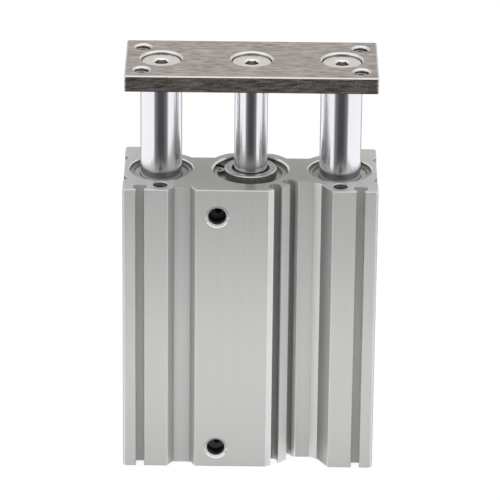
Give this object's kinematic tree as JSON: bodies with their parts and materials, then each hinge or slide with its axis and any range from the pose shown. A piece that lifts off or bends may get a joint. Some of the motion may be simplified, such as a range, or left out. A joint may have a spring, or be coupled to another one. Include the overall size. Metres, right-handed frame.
{
  "type": "guided pneumatic cylinder",
  "caption": "Compact guided air cylinder: a slotted aluminium housing with a piston rod between two guide rods, which carry a drilled tooling plate.",
  "frame": {"origin": "the housing's foot, on the piston's axis, where the object stands", "axes": "+Z the way the rods come out, -Y the face with the ports and T-slots, X along the row of rods"},
  "size_m": [0.122, 0.054, 0.2037],
  "materials": {
    "anodised_aluminium": "satin anodised extrusion, faced ends",
    "turned_aluminium": "turned and anodised",
    "plate_steel": "brushed along its length, dark oiled edges",
    "chrome": "hard chromed and polished",
    "screw_steel": "satin nickel plated",
    "spring_steel": "phosphated spring steel",
    "bearing_bronze": "oiled bearing alloy",
    "holder_plastic": "moulded",
    "felt": "oiled felt",
    "seal_rubber": "moulded seal rubber",
    "bumper_rubber": "cast elastomer",
    "magnet_rubber": "bonded magnet",
    "guide_plastic": "moulded wear strip"
  },
  "bodies": {
    "cylinder": {"housing": "anodised_aluminium", "rod_cover": "turned_aluminium", "head_cover": "turned_aluminium", "rod_bush": "bearing_bronze", "rod_seal": "seal_rubber", "rod_cover_gasket": "seal_rubber", "rod_cover_circlip": "spring_steel", "head_cover_gasket": "seal_rubber", "head_cover_circlip": "spring_steel", "front_bumper": "bumper_rubber", "rear_bumper": "bumper_rubber", "guide_bush_upper_left": "bearing_bronze", "guide_bush_lower_left": "bearing_bronze", "guide_felt_left": "felt", "felt_holder_left": "holder_plastic", "guide_circlip_left": "spring_steel", "guide_bush_upper_right": "bearing_bronze", "guide_bush_lower_right": "bearing_bronze", "guide_felt_right": "felt", "felt_holder_right": "holder_plastic", "guide_circlip_right": "spring_steel"},
    "carriage": {"tooling_plate": "plate_steel", "plate_screws": "screw_steel", "guide_rod_left": "chrome", "guide_rod_right": "chrome", "piston_rod": "chrome", "piston": "turned_aluminium", "piston_magnet": "magnet_rubber", "piston_wear_ring": "guide_plastic", "piston_seal": "seal_rubber", "piston_nut": "screw_steel"}
  },
  "joints": [
    {"name": "rod_slide", "type": "slide", "parent": "cylinder", "child": "carriage", "axis": [0, 0, 1], "range_m": [-0.0365, 0.0635]}
  ]
}
